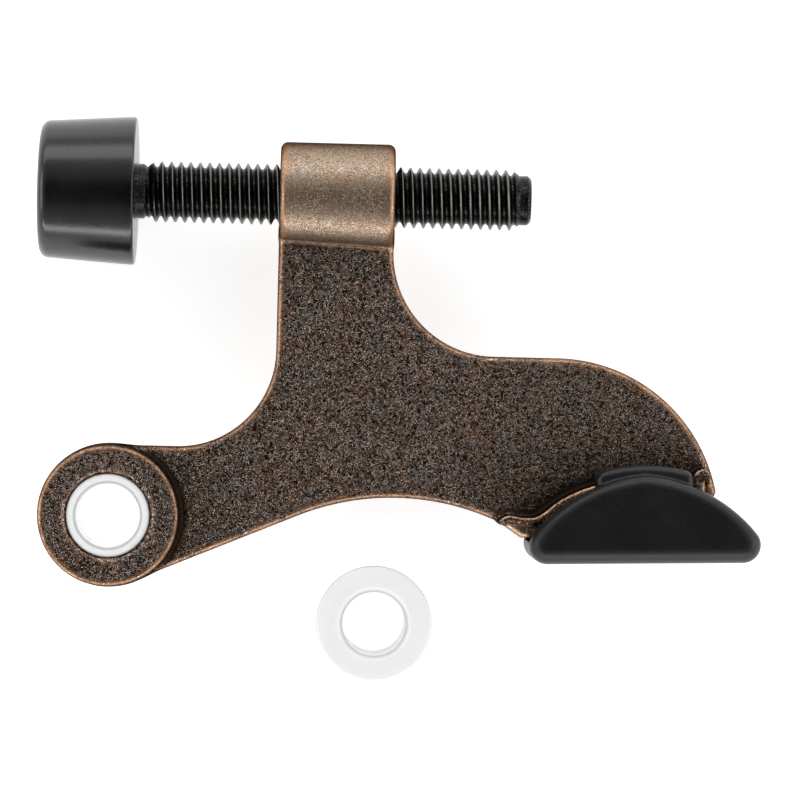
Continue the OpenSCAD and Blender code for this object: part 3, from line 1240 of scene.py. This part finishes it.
@dataclass
class AdjustingScrew:
    """The M8 x 1.25 right-hand screw, with a plain shank, a plain point and a round head in the bumper."""

    pitch: float = 1.25
    crest_r: float = 4.0
    root_r: float = 3.25
    shank_r: float = 3.6
    thread_from: float = 3.9
    turns: int = 39
    head_r: float = 5.5
    head_t: float = 2.5
    chamfer: float = 0.45
    rows_per_turn: int = 12
    segments: int = 72

    def thread_tree(self) -> bpy.types.NodeTree:
        """Geometry nodes that roll a sheet of rows into a right-hand thread along X, in metres.

        Returns:
            The tree, with its sizes as named inputs.
        """
        tree = bpy.data.node_groups.new("rolled_thread", "GeometryNodeTree")
        for kind, names in (("Int", ("Turns", "Rows per Turn", "Segments")),
                            ("Float", ("Start", "Pitch", "Crest Radius", "Root Radius", "Axis Height")),
                            ("Material", ("Finish",))):
            for name in names:
                tree.interface.new_socket(name, in_out="INPUT", socket_type="NodeSocket" + kind)
        tree.interface.new_socket("Geometry", in_out="OUTPUT", socket_type="NodeSocketGeometry")
        add = partial(add_node, tree)
        sizes = add("NodeGroupInput").node.outputs
        start, pitch, root_r = sizes["Start"], sizes["Pitch"], sizes["Root Radius"]
        spans = add(MATHS, (sizes["Turns"], 1), operation="ADD")
        rows = add(MATHS, (spans, sizes["Rows per Turn"], 1), operation="MULTIPLY_ADD")
        columns = add(MATHS, (sizes["Segments"], 1), operation="ADD")
        sheet = add("GeometryNodeMeshGrid", (1.0, 1.0, rows, columns))
        across = add("ShaderNodeSeparateXYZ", (add("GeometryNodeInputPosition"),)).node.outputs
        along = add(MATHS, (add(MATHS, (across["X"], 0.5), operation="ADD"), spans), operation="MULTIPLY")
        around = add(MATHS, (across["Y"], 0.5), operation="ADD")
        end = add(MATHS, (sizes["Turns"], pitch, start), operation="MULTIPLY_ADD")
        turns = add(MATHS, (add(MATHS, (along, around), operation="ADD"), 1), operation="SUBTRACT")
        free = add(MATHS, (turns, pitch, start), operation="MULTIPLY_ADD")
        place = add(MATHS, (add(MATHS, (free, start), operation="MAXIMUM"), end), operation="MINIMUM")
        # a rolled crest and root are flat for an eighth and a quarter of the pitch
        off = add(MATHS, (add(MATHS, (along,), operation="FRACT"), 0.5), operation="SUBTRACT")
        flank = add(RANGE, (add(MATHS, (off,), operation="ABSOLUTE"), 0.0625, 0.375, sizes["Crest Radius"],
                            root_r))
        # the thread runs out into its root at both ends
        left = add(MATHS, (add(MATHS, (place, start), operation="SUBTRACT"),
                           add(MATHS, (end, place), operation="SUBTRACT")), operation="MINIMUM")
        radius = add(MATHS, (flank, add(MATHS, (left, 0.7, root_r), operation="MULTIPLY_ADD")),
                     operation="MINIMUM")
        turn = add(MATHS, (around, TURN), operation="MULTIPLY")
        high = add(MATHS, (radius, add(MATHS, (turn,), operation="SINE")), operation="MULTIPLY")
        aside = add(MATHS, (radius, add(MATHS, (turn,), operation="COSINE"), sizes["Axis Height"]),
                    operation="MULTIPLY_ADD")
        rolled = add("GeometryNodeSetPosition",
                     {"Geometry": sheet, "Position": add("ShaderNodeCombineXYZ", (place, aside, high))})
        closed = add("GeometryNodeMergeByDistance", {"Geometry": rolled, "Distance": 0.002 * MM})
        real = add("GeometryNodeRealizeInstances", {"Geometry": closed})
        add("NodeGroupOutput",
            (add("GeometryNodeSetMaterial", {"Geometry": real, "Material": sizes["Finish"]}),))
        return tree

    def thread(self, axis_y: float, finish: bpy.types.Material) -> bpy.types.Mesh:
        """The thread alone, as a plain mesh.

        Args:
            axis_y: the height of the screw's axis, in millimetres.
            finish: the thread's material.

        Returns:
            The mesh, open at both ends.
        """
        holder = bpy.data.objects.new("thread_blank", bpy.data.meshes.new("thread_blank"))
        bpy.context.scene.collection.objects.link(holder)
        roll = holder.modifiers.new("rolled_thread", "NODES")
        roll.node_group = self.thread_tree()
        values = {"Turns": self.turns, "Rows per Turn": self.rows_per_turn, "Segments": self.segments,
                  "Start": self.thread_from * MM, "Pitch": self.pitch * MM, "Crest Radius": self.crest_r * MM,
                  "Root Radius": self.root_r * MM, "Axis Height": axis_y * MM, "Finish": finish}
        for item in roll.node_group.interface.items_tree:
            if item.in_out == "INPUT":
                roll[item.identifier] = values[item.name]
        made = bpy.data.meshes.new_from_object(holder.evaluated_get(bpy.context.evaluated_depsgraph_get()))
        holder.modifiers.clear()
        bpy.data.objects.remove(holder)
        return made

    def build(self, finish: bpy.types.Material) -> None:
        """Makes the whole screw as one closed piece.

        Args:
            finish: the screw's material.
        """
        low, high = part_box("adjusting_screw")
        axis_y = middle_mm("adjusting_screw").y
        head, tip = low.x / MM, high.x / MM
        start, end = self.thread_from, self.thread_from + self.turns * self.pitch
        neck = eased([(head, 0), (head, self.head_r), (head + self.head_t, self.head_r),
                      (head + self.head_t, self.shank_r), (start - 0.4, self.shank_r)], 0.25, 3)
        point = eased([(end, self.root_r), (tip - self.chamfer, self.root_r),
                       (tip, self.root_r - self.chamfer), (tip, 0)], 0.12, 3)
        place = Matrix.Translation((0, axis_y * MM, 0))
        bm = bmesh.new()
        bm.from_mesh(self.thread(axis_y, finish))
        for seam, profile in ((start, neck + [(start, self.root_r), (start, 0)]), (end, [(end, 0)] + point)):
            points, faces = turned(profile, self.segments)
            # the disc that would close each part against the thread is left out
            hub = {i for i, p in enumerate(points) if p[1] == p[2] == 0 and abs(p[0] - seam) < 1e-6}
            faces = [f for f in faces if not set(f) & hub]
            part = in_metres("screw_end", points, faces, place)
            bm.from_mesh(part)
            bpy.data.meshes.remove(part)
        bmesh.ops.delete(bm, geom=[v for v in bm.verts if not v.link_faces], context="VERTS")
        mesh = bpy.data.meshes.new("adjusting_screw_steel")
        bm.to_mesh(mesh)
        bm.free()
        mended(mesh)
        _, y, z = places_mm(mesh).T
        mark(mesh, "crest", (np.hypot(y - axis_y, z) - self.root_r) / (self.crest_r - self.root_r))
        shaded(mesh, 50)
        show("screw_m8", mesh, finish, "screw", "black_oxide_steel", "adjusting_screw")


@dataclass
class BumperCap:
    """The tapered rubber bumper, with the pocket that holds the screw's head."""

    face_r: float = 9.0
    back_r: float = 9.7
    rim_r: float = 1.3
    back_rim: float = 0.45
    shank_r: float = 3.66
    pocket_r: float = 5.56
    pocket: tuple[float, float] = (-5.56, -2.94)
    segments: int = 128

    def profile(self) -> list[Point2]:
        """The bumper's section, from the middle of its face round its outside and into its pocket.

        Returns:
            The section, as pairs of place along the axis and radius.
        """
        low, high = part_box("bumper_cap")
        face, back = low.x / MM, high.x / MM
        dome = [(face + 0.22 * s * s, (self.face_r - self.rim_r) * s) for s in np.linspace(0, 1, 7)]
        rim = arc_profile((face + self.rim_r + 0.1, self.face_r - self.rim_r), self.rim_r, 172, 92, 8)
        side = [(face + self.rim_r + 0.6 + t * (back - self.back_rim - face - self.rim_r - 0.6),
                 self.face_r + 0.02 + t * (self.back_r - self.face_r - 0.02)) for t in np.linspace(0, 1, 12)]
        rear = eased([side[-2], (back - 0.02, self.back_r), (back, self.shank_r),
                      (self.pocket[1], self.shank_r), (self.pocket[1], self.pocket_r),
                      (self.pocket[0], self.pocket_r), (self.pocket[0], 0)], self.back_rim, 5)
        return dome + rim + side[:-1] + rear[1:]

    def build(self, finish: bpy.types.Material) -> None:
        """Makes the bumper.

        Args:
            finish: the bumper's material.
        """
        axis_y = middle_mm("adjusting_screw").y
        points, faces = turned(self.profile(), self.segments)
        place = Matrix.Translation((0, axis_y * MM, 0))
        mesh = mended(in_metres("bumper_cap_rubber", points, faces, place))
        shaded(mesh, 40)
        show("bumper", mesh, finish, "bumper", "bumper_rubber", "bumper_cap")


class SleeveWay(Enum):
    """Which way a bushing's sleeve points along the hinge pin."""

    UP = 1
    DOWN = -1


@dataclass
class Bushing:
    """A flanged nylon bushing for the hinge pin."""

    hole_r: float = 4.1
    flange_r: float = 7.595
    flange_t: float = 1.5
    sleeve_r: float = 5.42
    sleeve_len: float = 10.8
    lead_in: float = 0.7
    sleeve_lead: float = 0.4
    edge: float = 0.3
    rim: float = 0.2
    segments: int = 128

    def build(self, name: str, node: str, body: str, way: SleeveWay, finish: bpy.types.Material) -> None:
        """Makes one bushing in the place of a CAD node.

        Args:
            name: the piece's name.
            node: the CAD node that it stands for.
            body: the CAD body that it moves with.
            way: which way its sleeve points.
            finish: its material.
        """
        low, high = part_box(node)
        middle = middle_mm(node)
        top = self.flange_t + self.sleeve_len
        profile = eased([(0, self.hole_r + self.lead_in), (0, self.flange_r - self.edge),
                         (self.edge, self.flange_r), (self.flange_t - self.edge, self.flange_r),
                         (self.flange_t, self.flange_r - self.edge), (self.flange_t, self.sleeve_r),
                         (top - self.edge, self.sleeve_r), (top, self.sleeve_r - self.edge),
                         (top, self.hole_r + self.sleeve_lead), (top - self.sleeve_lead, self.hole_r),
                         (self.lead_in, self.hole_r)], 0.16, 3, ring=True)
        points, faces = turned(profile, self.segments, ring=True)
        # the turned shape's X becomes Z, from the flange's outer face
        if way is SleeveWay.UP:
            points = points[:, [1, 2, 0]] + (middle.x, middle.y, low.z / MM)
        else:
            points = points[:, [2, 1, 0]] * (1, 1, -1) + (middle.x, middle.y, high.z / MM)
        mesh = mended(in_metres(node + "_nylon", points, faces))
        x, y, _ = places_mm(mesh).T
        out = np.hypot(x - middle.x, y - middle.y)
        # painted shade: the flange's outer rim and a ring round the hole are marked to be painted grey
        lead = self.sleeve_lead if way is SleeveWay.UP else self.rim
        on_lead = (out > self.hole_r + 0.02) & (out < self.hole_r + lead)
        mark(mesh, "painted_edge_shade", np.maximum((out - self.flange_r + self.rim) / self.rim, on_lead))
        shaded(mesh, 30)
        show(name, mesh, finish, body, "nylon", node)


# ---------------------------------------------------------------- floor, light and camera


@dataclass
class Studio:
    """A pale table in a light tent, with soft boxes all round and the dark camera above."""

    floor_size: float = 3.0
    lean_deg: float = 7.0
    # how bright the tent is, by the cosine of the angle from straight up
    levels: tuple[Point2, ...] = ((0.0, 0.85), (0.31, 1.05), (0.55, 0.75), (0.78, 0.45), (0.88, 0.32),
                                  (0.955, 0.06), (1.0, 0.02))
    # the camera's distance, how far it stands to the left, the width that it sees, and its roll
    distance: float = 563.0
    aside: float = 11.0
    width: float = 104.8
    roll_deg: float = 1.39
    off_middle: float = 0.35

    def floor(self) -> None:
        """Lays the floor under the part."""
        low, _ = CAD_BOX
        half = self.floor_size / 2
        mesh = bpy.data.meshes.new("floor")
        corners = ((-half, -half), (half, -half), (half, half), (-half, half))
        mesh.from_pydata([(x, y, low.z) for x, y in corners], [], [(0, 1, 2, 3)])
        card = bpy.data.materials.new("white_card_matt")
        card.use_nodes = True
        shader = card.node_tree.nodes["Principled BSDF"]
        for name, value in (("Base Color", linear("#f7f7f7")), ("Roughness", 0.9),
                            ("Specular IOR Level", 0.1), ("Emission Color", linear("#ffffff")),
                            ("Emission Strength", 0.62)):
            shader.inputs[name].default_value = value
        mesh.materials.append(card)
        floor = bpy.data.objects.new("floor", mesh)
        bpy.context.scene.collection.objects.link(floor)

    def tent(self) -> None:
        """Sets the light of the tent's walls, dim where the camera looks in."""
        world = bpy.data.worlds.new("light_tent")
        world.use_nodes = True
        tree = world.node_tree
        tree.nodes.clear()
        add = partial(add_node, tree)
        way = add("ShaderNodeTexCoord", out="Generated")
        # the camera's dark opening leans a little to the near side
        lean = math.radians(self.lean_deg)
        up = add("ShaderNodeVectorMath", (way, (0, -math.sin(lean), math.cos(lean))), out="Value",
                 operation="DOT_PRODUCT")
        level = add("ShaderNodeValToRGB", (up,))
        stops = level.node.color_ramp.elements
        for place, bright in self.levels:
            stop = stops[0] if place == 0 else stops[-1] if place == 1 else stops.new(place)
            stop.color = (bright, bright, bright, 1)
        add("ShaderNodeOutputWorld", (add("ShaderNodeBackground", (level, 1.0)),))
        bpy.context.scene.world = world

    def soft_box(self, name: str, place_mm: tuple[float, float, float], size_mm: Point2,
                 watts: float) -> None:
        """Adds one soft box that faces the part.

        Args:
            name: the lamp's name.
            place_mm: where it stands, from the middle of the part.
            size_mm: its width and height.
            watts: its power.
        """
        low, high = CAD_BOX
        middle = (low + high) / 2
        lamp = bpy.data.lights.new(name, "AREA")
        lamp.shape = "RECTANGLE"
        lamp.size, lamp.size_y = (side * MM for side in size_mm)
        lamp.energy = watts
        holder = bpy.data.objects.new(name, lamp)
        holder.location = middle + Vector(place_mm) * MM
        holder.rotation_euler = (middle - holder.location).to_track_quat("-Z", "Y").to_euler()
        bpy.context.scene.collection.objects.link(holder)

    def camera(self) -> None:
        """Sets the camera above the part, as a long lens a little to the left sees it."""
        low, high = CAD_BOX
        middle = (low + high) / 2
        target = Vector((middle.x + self.off_middle * MM, middle.y + self.off_middle * MM, 0))
        distance, aside, roll = self.distance * MM, self.aside * MM, math.radians(self.roll_deg)
        place = target + Vector((-aside, 0, math.sqrt(distance**2 - aside**2)))
        back = (place - target).normalized()
        right = Vector((math.cos(roll), math.sin(roll), 0))
        right = (right - back * right.dot(back)).normalized()
        above = back.cross(right)
        lens = bpy.data.cameras.new("view")
        lens.lens = lens.sensor_width * self.distance / self.width
        lens.clip_start, lens.clip_end = 0.01, 20
        holder = bpy.data.objects.new("view", lens)
        holder.matrix_world = Matrix.Translation(place) @ Matrix((right, above, back)).transposed().to_4x4()
        bpy.context.scene.collection.objects.link(holder)
        bpy.context.scene.camera = holder

    def build(self) -> None:
        """Sets up the whole studio."""
        self.floor()
        self.tent()
        self.soft_box("box_far", (0, 330, 170), (700, 150), 0.55)
        self.soft_box("box_near", (0, -330, 120), (700, 60), 0.65)
        self.soft_box("box_left", (-360, 0, 150), (300, 160), 0.3)
        self.soft_box("box_right", (360, 0, 150), (300, 160), 0.3)
        self.camera()
        bpy.context.scene.view_settings.view_transform = "Standard"


def main() -> None:
    """Builds every piece of the door stop, in order, and the studio round it."""
    logging.basicConfig(level=logging.INFO, format="%(name)s: %(message)s")
    Studio().build()
    foot = FootFrame()
    CastBody(foot).build(AntiqueCopperPlate().make())
    FootPad(foot).build(MouldedRubber(tool=Tool.MATT).make())
    AdjustingScrew().build(BlackOxideSteel().make())
    BumperCap().build(MouldedRubber(tool=Tool.SATIN).make())
    nylon = NaturalNylon().make()
    Bushing().build("bushing_in_eye", "fitted_bushing", "casting", SleeveWay.UP, nylon)
    Bushing().build("bushing_loose", "loose_bushing", "spare", SleeveWay.DOWN, nylon)


if __name__ == "__main__":
    main()
